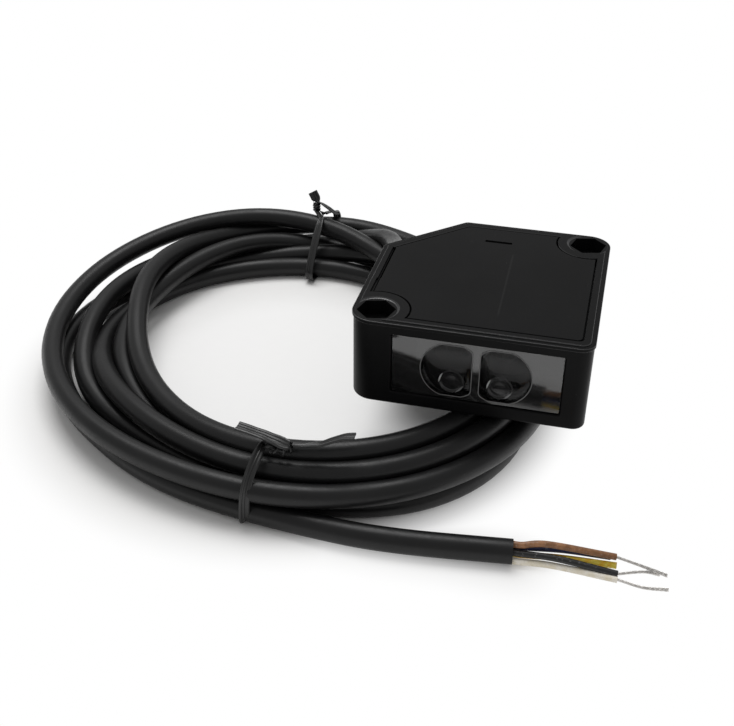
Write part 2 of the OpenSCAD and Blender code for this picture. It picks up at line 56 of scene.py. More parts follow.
SKIRT_IN = 0.28  # how far the side walls stand in from the flange
FACE = HALF - SKIRT_IN
HOLE_AT = 20.0  # place of the fixing holes, along x and along y
OPTICS_X = 1.9  # middle of the window, along x
GROUND = -24.0  # height of the floor that the coil lies on


# %% [markdown]
# ## Camera
#
# A product photo is taken with a long lens from a little above. The camera could be placed by hand in
# the viewport. Here its place was solved from the corners of the housing, whose real size is known, so
# that the same corners fall on the same spots of the picture.

# %% Camera
camera = bpy.data.objects.new("camera", bpy.data.cameras.new("camera"))
bpy.context.scene.collection.objects.link(camera)
camera.location = Vector((25.1, -212.9, 125.8)) * MM
camera.rotation_euler = [math.radians(a) for a in (56.856, -0.408, 13.954)]
camera.data.sensor_width = 36
camera.data.lens = 54.69
bpy.context.scene.camera = camera
print("Camera distance in mm:", round(camera.location.length / MM))

# %% [markdown]
# ## Cable
#
# A round cable of 5 mm leaves the gland in the cut corner, goes down behind the coil and runs round it
# counter-clockwise, five and a half turns, before its free end comes out in front. A cable could be a
# chain of cylinders, or a circle swept along a path. A curve with a round bevel is the best start: it
# stays smooth in every bend and its length can be read from its points.
#
# Each pair in the table is a distance from the middle of the coil and a height. The stations are 24
# degrees apart. They were chosen so that the strands lie beside and on each other, a diameter apart,
# where the photo shows them.

# %% Route of the cable
CABLE_R = 2.5
GLAND_DIR = Vector((-1, 1, 0)).normalized()
GLAND_EXIT = GLAND_DIR * 26.62
TAIL_END = Vector((14.8, -51, -21.5))
COIL_MIDDLE = (-46, 6)
FIRST_TURN, STATION = 92, 24
STATIONS = (
    ((60.4, -20.4), (58.5, -21.4), (58.4, -18.8), (54.2, -16.3), (51.6, -15.4), (52.2, -19.2),
     (47.9, -21.5), (47.9, -21.5), (56, -21.3), (64.1, -21.4), (63.7, -21.5), (57.7, -21.4),
     (52.5, -21.3), (49.8, -21.5), (51.6, -21.5)),
    ((54.4, -20.3), (54.1, -16.1), (48.9, -15.9), (44.3, -17.2), (42.9, -17.3), (42, -17.8),
     (42.2, -20.2), (43.6, -19.4), (49.3, -17.6), (54.6, -17.1), (55, -18.9), (51.5, -20.9),
     (47.4, -21.5), (44.6, -21.5), (43.5, -21.4)),
    ((45.8, -21.5), (46.6, -21.5), (48.4, -21.5), (49, -21.5), (48.4, -19.4), (47, -16.6),
     (46.8, -15.3), (49.9, -15.2), (56.2, -14.9), (60.8, -13.9), (61.1, -13.4), (58.4, -14.5),
     (54.2, -14.6), (53.1, -12.5), (56.5, -16.2)),
    ((64.3, -16.1), (63.3, -18.1), (54.9, -14), (45.7, -11.3), (39.2, -12.5), (38, -14.9),
     (39.6, -15.6), (45, -14.4), (51.8, -12.8), (56, -12), (55.4, -12.6), (53.6, -12.6),
     (49.5, -12.6), (42.5, -13.3), (40.4, -14.1)),
    ((51.5, -12.3), (62, -12.3), (61.9, -12.3), (62.9, -15.1), (60.7, -16.5), (58.2, -16.5),
     (57, -16.3), (57.2, -16.4), (61.2, -16.5), (65.2, -16.3), (65.2, -16.4), (62.7, -17.5),
     (59.2, -19.2), (54.6, -19.6), (49.8, -16.7)),
    ((49.5, -18.2), (51.5, -21.2), (53.4, -21.5), (58.3, -21.5), (60, -21.4), (56.8, -21.5),
     (54, -21.5), (57.1, -21.5)),
)
route = [
    GLAND_EXIT, GLAND_EXIT + 5 * GLAND_DIR,
    (-25.6, 28.3, -2.4), (-28, 36, -6.4), (-30.8, 45.5, -8.9), (-34.4, 52.5, -10.6),
]
for count, (r, z) in enumerate(pair for turn in STATIONS for pair in turn):
    a = math.radians(FIRST_TURN + STATION * count)
    route.append((COIL_MIDDLE[0] + r * math.cos(a), COIL_MIDDLE[1] + r * math.sin(a), z))
route += [(-20, -54, -21.5), (-11, -53.8, -21.5), (-2, -53.2, -21.5), (9.8, -51.6, -21.5), TAIL_END]
print("Points of the route:", len(route))


# %% Cable as a bevelled curve
def round_curve(name, lines, r, kind="POLY", sides=6):
    """Round tubes along lines of points, as one curve object."""
    data = bpy.data.curves.new(name, "CURVE")
    data.dimensions = "3D"
    # The tube's radius is bevel_depth times the radius of each point. A curve's box grows by the radius
    # of its points, so the real radius is written there and bevel_depth stays 1.
    data.bevel_depth = 1
    data.bevel_resolution = sides
    data.resolution_u = 8
    data.use_fill_caps = True
    for line in lines:
        spline = data.splines.new(kind)
        spline.points.add(len(line) - 1)
        for spot, p in zip(spline.points, line):
            spot.co = (*(Vector(p) * MM), 1)
            spot.radius = r * MM
        if kind == "NURBS":
            spline.order_u = 4
            spline.use_endpoint_u = True
    obj = bpy.data.objects.new(name, data)
    bpy.context.scene.collection.objects.link(obj)
    return obj


cable = round_curve("cable", [route], CABLE_R, "NURBS")
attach(cable, "sensor")
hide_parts("cord_lead", "cord_coil", "cord_tail")
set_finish(cable, "cable_jacket")
print("Cable length in mm:", round(cable.data.splines[0].calc_length() / MM))

# %% [markdown]
# ## Conductors at the free end
#
# Five insulated conductors fan out from the end of the jacket. Their ends were cut by hand, so no two
# are alike. Each is a thin round curve like the cable, but it has to pass through its points, so the
# points are first joined by a Catmull-Rom curve, which passes through all of them.

# %% Conductors
WIRE_R = 0.65
WIRES = {
    "brown": ((0, 0.5, 1.55), (6.5, 1.6, 1.9), (19.4, 3.1, 0.3)),
    "blue": ((0, 1.45, 0.2), (9.5, 2.9, 0), (18.4, 4, -0.7)),
    "black": ((0, -0.3, 0.1), (8.5, 0.1, 0), (20, 0, -1.1)),
    "white": ((0, -1, -1.4), (8, -0.3, -1.55), (20.1, -0.8, -1.8)),
    "yellow": ((0, 0.9, -1.3), (9, 2.2, -1.5), (19.7, 2.7, -1.5)),
}


def through(points, steps):
    """Points on a smooth curve that passes through the given ones."""
    p = [Vector(q) for q in points]
    p = [2 * p[0] - p[1], *p, 2 * p[-1] - p[-2]]
    out = []
    for a, b, c, d in zip(p, p[1:], p[2:], p[3:]):
        for k in range(steps):
            t = k / steps
            out.append((2 * b + (c - a) * t + (2 * a - 5 * b + 4 * c - d) * t * t
                        + (3 * b - a - 3 * c + d) * t ** 3) / 2)
    return out + [p[-2]]


conductors = []
for colour, (start, knee, end) in WIRES.items():
    start = Vector(start)
    line = [start - Vector((1, 0, 0)), start + Vector((1.5, 0, 0)), knee, end]
    piece = round_curve("conductor_" + colour, [[TAIL_END + p for p in through(line, 8)]], WIRE_R)
    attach(piece, "sensor")
    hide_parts("wire_" + colour)
    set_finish(piece, "wire_" + colour + "_skin")
    conductors.append(piece)
print("Conductors:", [piece.name for piece in conductors])

# %% [markdown]
# ## Bare strands
#
# Three conductors show their copper: seven hair-thin wires, six of them wound round the middle one. One
# textured cylinder would look like a rod, so every wire is a curve of its own. The six spread a little
# towards the tip, as cut strands do.

# %% Strands
STRANDS = (
    (WIRES["brown"][2], (24.5, 2.6, -0.5), (29.2, 2.3, -1.5)),
    (WIRES["black"][2], (24.7, 1.8, -1.1), (27.8, 2.4, -1.6)),
    (WIRES["white"][2], (24.9, -1.5, -2), (29.6, -0.8, -2.1)),
)
HAIR_R = 0.095
LAY = 0.42
lines = []
for line in STRANDS:
    middle = [TAIL_END + p for p in through(line, 14)]
    lines.append(middle)
    for k in range(6):
        winding = []
        for i, p in enumerate(middle):
            a = k * math.pi / 3 + i * LAY
            r = 0.2 + 0.12 * (i / len(middle)) ** 2
            winding.append(p + r * Vector((0, math.cos(a), math.sin(a))))
        lines.append(winding)
strands = round_curve("bare_strands", lines, HAIR_R, sides=1)
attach(strands, "sensor")
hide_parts("wire_strands")
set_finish(strands, "tinned_copper")
print("Hairs:", len(lines))

# %% [markdown]
# ## Ties
#
# Each tie is one flat ribbon with a ridge along each edge. It goes round the bundle, its two runs are
# wound round each other, and its two ends stand free. The ribbon turns about its own length all the
# way, which no extrude or bend by hand can follow well. So its section is skinned along the path, with
# the direction of its width given at every point.
#
# The twist pulls the ribbon narrow, so its width is a share of the full one: least in the twist, more
# round the bundle, and full at the free ends.

# %% Ribbon
RIBBON_W, RIBBON_T = 2.7, 0.5
SECTION = ((-0.5, 0.12), (-0.46, 0.4), (-0.36, 0.5), (-0.26, 0.4), (-0.2, 0.14), (-0.06, 0.12),
           (0, 0.3), (0.06, 0.12), (0.2, 0.14), (0.26, 0.4), (0.36, 0.5), (0.46, 0.4), (0.5, 0.12))
SECTION = [*SECTION, *((u, -v) for u, v in reversed(SECTION))]


def ribbon(name, path):
    """Flat ribbon along a path of (point, direction of its width, share of its full width)."""
    bm = bmesh.new()
    rings = []
    for i, (p, across, share) in enumerate(path):
        t = (path[min(i + 1, len(path) - 1)][0] - path[max(i - 1, 0)][0]).normalized()
        across = (across - t * t.dot(across)).normalized()
        up = across.cross(t)
        rings.append([bm.verts.new((p + across * u * share * RIBBON_W + up * v * RIBBON_T) * MM)
                      for u, v in SECTION])
    n = len(SECTION)
    for here, after in zip(rings, rings[1:]):
        for k in range(n):
            bm.faces.new((here[k], here[(k + 1) % n], after[(k + 1) % n], after[k]))
    bm.faces.new(reversed(rings[0]))
    bm.faces.new(rings[-1])
    bmesh.ops.recalc_face_normals(bm, faces=bm.faces)
    mesh = bpy.data.meshes.new(name)
    bm.to_mesh(mesh)
    bm.free()
    obj = bpy.data.objects.new(name, mesh)
    bpy.context.scene.collection.objects.link(obj)
    return obj


print("Corners of the ribbon's section:", len(SECTION))

# %% Free ends and twist
TWIST_R, TWIST_TURNS, TWIST_SHARE = 0.45, 1.6, 0.5
LOOP_MORE, END_SHARE, END_MORE = 0.32, 0.7, 0.3
WIDENS_OVER = 8  # points along the path in which a share is reached


def free_end(points, near, far, steps=6):
    """One end of a ribbon, from the twist outwards, whose width turns from one direction to another."""
    line = through(points, steps)
    path = []
    for i, p in enumerate(line):
        across = Vector(near).lerp(Vector(far), min(1, 1.6 * i / len(line)))
        path.append((p, across, END_SHARE + END_MORE * min(1, i / WIDENS_OVER)))
    return path


def twist(points, turns, phase, steps=6):
    """One of two runs that are wound round each other along a line."""
    line = through(points, steps)
    out = []
    for i, p in enumerate(line):
        t = (line[min(i + 1, len(line) - 1)] - line[max(i - 1, 0)]).normalized()
        u = t.cross(Vector((0, 0, 1))).normalized()
        a = phase + turns * 2 * math.pi * i / (len(line) - 1)
        radial = u * math.cos(a) + u.cross(t) * math.sin(a)
        out.append((p + TWIST_R * radial, radial, TWIST_SHARE))
    return out


print("Width in mm, in the twist and at the ends:", RIBBON_W * TWIST_SHARE, RIBBON_W)


# %% Whole tie
def tie(name, middle, turn, loop, lean, stem, ends, replaced):
    """Ribbon from one free end through the twist, round the bundle and back to the other end."""
    a = math.radians(turn)
    out, side = Vector((math.cos(a), math.sin(a), 0)), Vector((-math.sin(a), math.cos(a), 0))
    middle = Vector((*middle, 0))
    band = through([middle + out * s + side * shift + Vector((0, 0, z)) for s, z, shift in loop], 6)
    heart = sum(band, Vector()) / len(band)
    wrap = []
    for i, p in enumerate(band):
        outward = (p - heart).normalized()
        share = TWIST_SHARE + LOOP_MORE * min(1, min(i, len(band) - 1 - i) / WIDENS_OVER)
        wrap.append((p, side * math.cos(lean) + outward * math.sin(lean), share))
    down, back = twist(stem, TWIST_TURNS, 0), twist(stem, TWIST_TURNS, math.pi)
    first, second = (free_end(*end) for end in ends)
    piece = ribbon(name, [*reversed(first), *down, *wrap, *reversed(back), *second])
    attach(piece, "sensor")
    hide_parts(replaced)
    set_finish(piece, "tie_ribbon")
    print(name, "faces:", len(piece.data.polygons))
    return piece


print("Width in mm, round the bundle:", round(RIBBON_W * (TWIST_SHARE + LOOP_MORE), 2))

# %% Front tie
front_tie = tie(
    "front_tie", (-36.04, -3.86), -92.7,
    ((41.2, -9.3, 1.2), (43.5, -9.8, 1.1), (46.5, -11.1, 0.9), (49, -13.2, 0.6), (50.6, -16.2, 0.4),
     (50.9, -20, 0.2), (50.3, -22.6, 0), (48, -23.4, 0), (41, -23.5, 0), (36.5, -22.6, 0),
     (33.5, -19.5, 0), (33.6, -15.5, 0.2), (34.8, -12.8, 0.5), (36.9, -11.1, 0.9), (39.2, -9.9, 1.1)),
    math.radians(-38),
    ((-30.8, -46, -8.7), (-31.9, -46.1, -9.7), (-33.3, -46.2, -10.1), (-34.8, -46, -9.9),
     (-36, -45.6, -9.2)),
    ((((-31.2, -46, -8.4), (-32.2, -46, -8.2), (-33.8, -45.8, -7.8), (-35.1, -45.7, -7.5),
       (-36.8, -45.5, -7.1), (-38.4, -45.3, -6.9), (-40.4, -45.2, -6.5), (-42.3, -45, -6.3)),
      (0, 0.8, 0.5), (0, 1, 0.05)),
     (((-30.4, -46, -8.3), (-29.1, -45.8, -8.2), (-27.8, -45.5, -8.1), (-26.5, -45.2, -7.9),
       (-25, -45, -7.6), (-23.4, -44.8, -6.8), (-21.6, -44.5, -6), (-20.1, -44.2, -5.5),
       (-18.3, -44, -5.2)),
      (-0.2, 0.82, -0.55), (0.1, 0.98, -0.1))),
    "tie_front",
)

# %% Back tie
back_tie = tie(
    "back_tie", (-55.96, 12.86), 87,
    ((46.5, -9.6, 0.3), (49, -10.2, 0.2), (53, -11.6, 0), (55.7, -12.9, 0), (57.2, -15.5, 0),
     (56.4, -18.2, 0), (51, -21.8, 0), (40, -23.5, 0), (34, -23.4, 0), (32.2, -22.3, 0),
     (32.6, -19.7, 0), (37, -14.5, 0), (41.5, -10.6, 0.1), (44, -9.6, 0.3)),
    math.radians(-10),
    ((-56.5, 61.3, -7.6), (-56.5, 61, -8.4), (-56.3, 60.6, -9.2)),
    ((((-56.6, 61.4, -7), (-56.8, 61.6, -6.4), (-57.3, 61.8, -5.5), (-57.9, 62, -4.5)),
      (0.6, 0.2, 0.7), (0.6, 0.15, 0.75)),
     (((-56.2, 61.2, -7), (-55.2, 60.8, -7), (-54.2, 60.3, -7.2), (-52.3, 59.7, -8), (-49.9, 59, -9.2)),
      (-0.2, 0.82, -0.55), (0, 0.9, -0.3))),
    "tie_back",
)

# %% [markdown]
# ## One cord
#
# The cable is sold by its length, here about 2 m. Whoever uses the part may lay the cable in another
# way. The cable, its conductors and its ties belong together. Its length is the one along the middle of
# the cable.

# %% Cord
print("Cord goes with", len(conductors) + 3, "pieces")

# %% [markdown]
# ## Working by hand, in code
#
# The hard pieces are modelled as they would be with the mouse: add a primitive, go into edit mode, pick
# some faces or edges, and pull, inset or bevel them. In code, a pick is a test on where a face or edge
# lies and which way it points. An operator works on all that is selected, so everything is let go
# first.

# %% Primitives
def take(obj=None):
    """Leaves edit mode, lets go of everything and takes the one object."""
    if bpy.context.mode != "OBJECT":
        bpy.ops.object.mode_set(mode="OBJECT")
    bpy.ops.object.select_all(action="DESELECT")
    if obj:
        obj.select_set(True)
        bpy.context.view_layer.objects.active = obj


def settled(name):
    """Names the new primitive and moves its place, turn and size into its mesh."""
    obj = bpy.context.object
    obj.name = obj.data.name = name
    bpy.ops.object.transform_apply(location=True, rotation=True, scale=True)
    return obj


def slab(name, low, high):
    """Cube primitive between two corners."""
    take()
    low, high = Vector(low) * MM, Vector(high) * MM
    bpy.ops.mesh.primitive_cube_add(size=1, location=(low + high) / 2)
    bpy.context.object.scale = high - low
    return settled(name)


def bar(name, r, start, end, sides=64, turn=0):
    """Cylinder primitive from one point to another, turned about its axis by some degrees."""
    take()
    start, end = Vector(start) * MM, Vector(end) * MM
    facing = (end - start).to_track_quat("Z", "Y") @ Quaternion((0, 0, 1), math.radians(turn))
    bpy.ops.mesh.primitive_cylinder_add(
        vertices=sides, radius=r * MM, depth=(end - start).length, location=(start + end) / 2,
        rotation=facing.to_euler(),
    )
    return settled(name)


print("Primitives: slab and bar")


# %% Picks and pulls
def pick(obj, test, kind="FACE"):
    """In edit mode, selects the faces or edges whose middle and direction pass the test."""
    if bpy.context.mode != "EDIT_MESH":
        take(obj)
        bpy.ops.object.mode_set(mode="EDIT")
    bpy.ops.mesh.select_mode(type=kind)
    bpy.ops.mesh.select_all(action="DESELECT")
    bm = bmesh.from_edit_mesh(obj.data)
    count = 0
    for part in bm.faces if kind == "FACE" else bm.edges:
        ends = [v.co for v in part.verts]
        way = part.normal if kind == "FACE" else (ends[1] - ends[0]).normalized()
        if test(sum(ends, Vector()) / len(ends) / MM, way):
            part.select_set(True)
            count += 1
    bmesh.update_edit_mesh(obj.data)
    return count


def pull(way):
    """Extrudes the picked faces along a way in millimetres."""
    bpy.ops.mesh.extrude_region_move(TRANSFORM_OT_translate={"value": Vector(way) * MM})


def widen(factor, centre):
    """Resizes what is picked about a point."""
    bpy.ops.transform.resize(value=(factor,) * 3, center_override=Vector(centre) * MM)


def bevel(width, segments):
    """Rounds the picked edges."""
    bpy.ops.mesh.bevel(offset=width * MM, segments=segments, affect="EDGES")


def everything(middle, way):
    """The test that every face and edge passes."""
    return True


def slice_off(obj, point, way, fine=0.0001):
    """Cuts the object with a plane, closes the cut and drops what lies past it."""
    pick(obj, everything)
    bpy.ops.mesh.bisect(plane_co=Vector(point) * MM, plane_no=way, use_fill=True, clear_outer=True,
                        threshold=fine)


print("Picked parts can be pulled, widened, bevelled and sliced off")

# %% [markdown]
# ## Round pieces and cuts
#
# Bores, posts and collars are turned parts. A profile could be spun round an axis, and would need its
# poles closed. A cylinder whose end is pulled and widened again and again is closed from the start.
# What a drill takes away is cut out with a Boolean modifier, which is applied at once, so that every
# piece ends as a plain mesh.


# %% Turned pieces, cuts and shading
def turned(name, profile, origin=(0, 0, 0), axis=(0, 0, 1), sides=64):
    """Round piece: a cylinder whose end is pulled and widened along a profile of (radius, place)."""
    origin, axis = Vector(origin), Vector(axis).normalized()
    (r, s), (r_next, s_next) = profile[:2]
    obj = bar(name, r, origin + axis * s, origin + axis * s_next, sides)
    ahead = axis if s_next > s else -axis
    pick(obj, lambda middle, way: way.dot(ahead) > 0.99)
    widen(r_next / r, origin + axis * s_next)
    for (r, s), (r_next, s_next) in zip(profile[1:], profile[2:]):
        pull(axis * (s_next - s))
        widen(r_next / r, origin + axis * s_next)
    take(obj)
    return obj


def cut_out(obj, cutters):
    """Takes the cutters out of the object with Boolean modifiers, and deletes them."""
    for cutter in cutters:
        take(obj)
        modifier = obj.modifiers.new("cut", "BOOLEAN")
        modifier.operation, modifier.solver, modifier.object = "DIFFERENCE", "EXACT", cutter
        bpy.ops.object.modifier_apply(modifier=modifier.name)
        bpy.data.objects.remove(cutter)
    print(obj.name, "after its cuts:", len(obj.data.polygons), "faces")


def smooth(obj, angle, weighted=False):
    """Shades the object smooth but for its sharp edges; weighted keeps big flat faces flat."""
    take(obj)
    bpy.ops.object.shade_smooth_by_angle(angle=math.radians(angle))
    if weighted:
        modifier = obj.modifiers.new("flat", "WEIGHTED_NORMAL")
        modifier.keep_sharp = True
        bpy.ops.object.modifier_apply(modifier=modifier.name)


def finish_piece(obj, replaced, slot):
    """Makes the piece ride on the housing and stand for a CAD part."""
    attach(obj, "sensor")
    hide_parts(replaced)
    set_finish(obj, slot)


print("Pieces can be turned, cut out, smoothed and finished")

# %% [markdown]
# ## Housing
#
# One moulding holds everything: a square with one corner cut off, a thin flange round its top, a raised
# tier inside the flange, and small radii where the mould was rounded. It could be drawn as an outline
# and extruded. Here it starts as a cube as thin as the flange, because every other level is that same
# outline, drawn in a little, and insets give exactly that.

# %% Flange
LEG = 16.2
TIER_Z, TOP_Z = 9.7, 10
FLANGE_Z, SKIRT_DOWN, TIER_IN = 8.9, 18.9, 0.88
HOLE_CORNER, PLAIN_CORNER, CUT_CORNER = 5, 3, 0.62
housing = slab("housing_shell", (-HALF, -HALF, FLANGE_Z), (HALF, HALF, TIER_Z))
slice_off(housing, (LEG - HALF, HALF, 0), (-1, 1, 0))
CORNERS = (((-HALF, -HALF), HOLE_CORNER), ((HALF, HALF), HOLE_CORNER), ((HALF, -HALF), PLAIN_CORNER),
           ((LEG - HALF, HALF), CUT_CORNER), ((-HALF, HALF - LEG), CUT_CORNER))


def upright_at(x, y):
    """Test for the upright edge that stands at a place."""
    return lambda middle, way: abs(way.z) > 0.9 and math.hypot(middle.x - x, middle.y - y) < 0.1


for corner, width in CORNERS:
    found = pick(housing, upright_at(*corner), "EDGE")
    bevel(width, 10)
    print("Corner", corner, "edges rounded:", found)
pick(housing, lambda middle, way: abs(way.z) < 0.1, "EDGE")
bevel(0.1, 3)
print("Flange faces:", len(bmesh.from_edit_mesh(housing.data).faces))

# %% Skirt and tier
pick(housing, lambda middle, way: way.z < -0.99)
bpy.ops.mesh.inset(thickness=0.18 * MM)
pull((0, 0, -SKIRT_DOWN))
pick(housing, lambda middle, way: abs(way.z) < 0.1 and middle.z < -9.9, "EDGE")
bevel(0.55, 4)
pick(housing, lambda middle, way: way.z > 0.99)
bpy.ops.mesh.inset(thickness=TIER_IN * MM)
pull((0, 0, TOP_Z - TIER_Z))
pick(housing, lambda middle, way: abs(way.z) < 0.1 and middle.z > TOP_Z - 0.01, "EDGE")
bevel(0.24, 4)
take(housing)
print("Housing size in mm:", [round(v / MM, 2) for v in housing.dimensions])

# %% [markdown]
# ## Openings of the housing
#
# Drills and punches are modelled as the solid air that they leave, then cut out. A moulded mouth is
# never quite sharp, so each tool grows wider where it leaves the wall. The nut pockets are six-sided,
# below a round mouth that runs into the rounded corner beside it.

# %% Outline round the fixing holes
NOTCH_R, COVER_IN = 7.0, 2.6


def notched_plate(name, margin, low, high, corner=1.2):
    """Plate with the housing's outline drawn in, that goes round the two fixing holes."""
    edge = HALF - margin
    plate = slab(name, (-edge, -edge, low), (edge, edge, high))
    leg = LEG - margin * (2 - math.sqrt(2))
    slice_off(plate, (leg - edge, edge, 0), (-1, 1, 0))
    pick(plate, lambda middle, way: abs(way.z) > 0.9 and middle.x > 0 > middle.y, "EDGE")
    bevel(corner, 6)
    cut_out(plate, [bar("drill", NOTCH_R + margin - COVER_IN, (s, s, low - 1), (s, s, high + 1), 96)
                    for s in (-HOLE_AT, HOLE_AT)])
    return plate


print("Round the holes, the cover stands off by", NOTCH_R, "mm")

# %% Fixing holes and nut pockets
NUT_FLATS = 7.1
NUT_R = NUT_FLATS / 2 / math.cos(math.pi / 6)
tools = []
for s in (-HOLE_AT, HOLE_AT):
    tools.append(turned("bore", ((2.6, -11), (2.6, -9.98), (2.25, -9.7), (2.25, 9)), (s, s, 0)))
    pocket = bar("pocket", NUT_R, (s, s, 6.5), (s, s, 10.5), 6, -15)
    pick(pocket, lambda middle, way: abs(way.z) > 0.9, "EDGE")
    bevel(0.2, 4)
    tools.append(pocket)
    mouth = ((4.35, 9.69), (4.5, 9.74), (4.68, 9.84), (4.82, 9.97), (4.95, 10.1), (5, 11))
    tools.append(turned("mouth", mouth, (s, s, 0), sides=96))
cut_out(housing, tools)


# %% Window recess and controls
def upright_slab(name, w, h, back, corner, flare):
    """Box that opens towards the window side, wider in its last stretch."""
    tool = slab(name, (OPTICS_X - w / 2, -FACE + 0.2, -h / 2), (OPTICS_X + w / 2, back, h / 2))
    pick(tool, lambda middle, way: abs(way.y) > 0.9, "EDGE")
    bevel(corner, 4)
    pick(tool, lambda middle, way: way.y < -0.9)
    pull((0, -0.25, 0))
    bpy.ops.transform.resize(value=(1 + 2 * flare / w, 1, 1 + 2 * flare / h),
                             center_override=Vector((OPTICS_X, -FACE - 0.05, 0)) * MM)
    pull((0, -2, 0))
    take(tool)
    return tool


def end_bore(y, r, flare):
    """Drill from the inside out through the end face, with a widened mouth."""
    return turned("end_bore", ((r, 18), (r, FACE - flare), (r + flare, FACE + 0.02), (r + flare, 30)),
                  (0, y, 0), (1, 0, 0), 48)


ADJUSTER_Y, SELECTOR_Y, LAMPS_Y = 8.28, 1.76, (-3.86, -8.58)
cut_out(housing, [
    upright_slab("optics_opening", 25.2, 13.4, -20, 0.3, 0),
    upright_slab("window_recess", 35.3, 13.9, -23.02, 0.45, 0.2),
    end_bore(ADJUSTER_Y, 2.25, 0.18),
    end_bore(LAMPS_Y[0], 1.55, 0.12),
    end_bore(LAMPS_Y[1], 1.55, 0.12),
    slab("slot", (18, SELECTOR_Y - 2, -1), (FACE - 0.08, SELECTOR_Y + 2, 1)),
    slab("slot_mouth", (FACE - 0.1, SELECTOR_Y - 2.08, -1.08), (30, SELECTOR_Y + 2.08, 1.08)),
    bar("gland_bore", 3.6, GLAND_DIR * 18, GLAND_DIR * 30),
    notched_plate("cavity", 3.6, -8, 7.7),
])

# %% Cover pocket
pocket = notched_plate("cover_pocket", 2.5, 7.65, 9.86)
pick(pocket, lambda middle, way: way.z > 0.99)
pull((0, 0, 0.18))
bpy.ops.transform.resize(value=(1.006, 1.006, 1), center_override=(0, 0, 10.04 * MM))
pull((0, 0, 1))
cut_out(housing, [
    pocket,
    slab("moulding_step", (-22.95, -13.6, 9.5), (-22.4, -7.4, 11)),
    slab("moulding_step", (-22.75, -8.2, 9.5), (-22.2, 7.6, 11)),
])

# %% Posts for the main board
POST = ((1.6, -8.3), (1.6, -5.2), (0.7, -5.2), (0.7, -3.7), (0.6, -3.6))
posts = [turned("post", POST, (x, y, 0), sides=32)
         for x, y in ((-17, -6.5), (17, -6.5), (-4, 18.6), (9.5, 17.6))]
take(housing)
for post in posts:
    post.select_set(True)
bpy.ops.object.join()
smooth(housing, 30, weighted=True)
print("Posts in the housing:", len(posts))

# %% [markdown]
# ## Glossy edges with a painted highlight
#
# The rounded edges round the top are smoother and shinier than the grained faces beside them, so
# they catch real reflections, and their colour is paler, which is a painted highlight. A mask in the
# material could find them. It is simpler to give these faces a material slot of their own, because a
# slanting direction near the top tells them apart. Two empty materials hold the places until the
# finishes are made.

# %% Edge faces
for name in ("area_shell", "area_edges"):
    housing.data.materials.append(bpy.data.materials.new(name))
# These slanting faces near the top get the paler colour of a painted highlight on the edges.
edges = pick(housing, lambda middle, way: 0.15 < abs(way.z) < 0.97 and middle.z > 8.8)
housing.active_material_index = 1
bpy.ops.object.material_slot_assign()
take(housing)
print("Rubbed edge faces:", edges)
finish_piece(housing, "housing", "housing_plastic")
print("Housing triangles:", sum(len(f.vertices) - 2 for f in housing.data.polygons))

# %% [markdown]
# ## Cover
#
# The large plate lies flush in the tier and goes round both fixing holes, with a fine dark gap all
# round. Near its back edge is one small slit. The plate is the pocket's own shape, drawn in a little
# more, so the gap has the same width everywhere.

# %% Cover plate
cover = notched_plate("cover_plate", 2.82, 8.2, 9.97, 1)
pick(cover, lambda middle, way: abs(way.z) < 0.1 and middle.z > 9.9, "EDGE")
bevel(0.13, 3)
slit = slab("slit", (-3, 15.4, 9.6), (3.15, 16.35, 11))
pick(slit, lambda middle, way: abs(way.z) > 0.9, "EDGE")
bevel(0.2, 3)
cut_out(cover, [slit, slab("edge_step", (-23, -7.2, 9.5), (-21.95, 7.2, 11))])
smooth(cover, 30, weighted=True)
finish_piece(cover, "cover", "cover_plastic")
print("Cover size in mm:", [round(v / MM, 2) for v in cover.dimensions])

# %% [markdown]
# ## Cable gland
#
# A flanged rubber collar guides the cable out of the cut corner. It gets thinner towards its end in
# three rings, so that it bends with the cable and doesn't kink it. It is a turned piece: a cylinder
# whose end face is pulled out and resized along a profile.

# %% Gland
profile = [(3.55, 21.2), (3.55, 23.7), (3.9, 23.72), (4, 23.85), (4, 24.6), (3.85, 24.75)]
for k in range(3):
    s, r = 24.85 + 0.55 * k, 3.75 - 0.2 * k
    profile += [(r - 0.35, s), (r - 0.3, s + 0.12), (r, s + 0.16), (r - 0.04, s + 0.42),
                (r - 0.3, s + 0.46)]
profile += [(3.0, 26.5), (2.9, 26.6), (2.6, 26.62)]
gland = turned("gland_collar", profile, axis=GLAND_DIR)
smooth(gland, 40)
finish_piece(gland, "cable_gland", "gland_plastic")
print("Gland rings end at", profile[-1][1], "mm from the middle")

# %% [markdown]
# ## Window
#
# The front window is one clear moulding. Its two lenses are D-shaped, their straight sides face each
# other, and each has a fine frosted rim. Light bends in them so that the round element behind shows low
# in the opening. The glass is modelled as a flat plate with two openings, and each lens as a cylinder
# with its sides sliced off, whose front is drawn in again and again and pulled out a little each time.
#
# Plate, lens and rim differ in finish, so their faces get a material slot each. The slices lie closer
# together than the 0.1 mm within which a cut would merge points, so their cuts are told to be finer.

# %% Window plate
PANE_Y, PANE_BACK = -24.22, -23.02
LENS_X = 5  # from the middle of the window to the middle of a lens
LENS_R, LENS_H, LENS_GAP = 6.6, 12.4, 1.4
CORNER_R = 1.5
CORNER_X = LENS_X - LENS_GAP / 2 - CORNER_R
CORNER_Z = math.sqrt((LENS_R - CORNER_R) ** 2 - CORNER_X ** 2)
CORNER_SWEEP = math.atan2(CORNER_Z, CORNER_X)
FINE = 1e-7


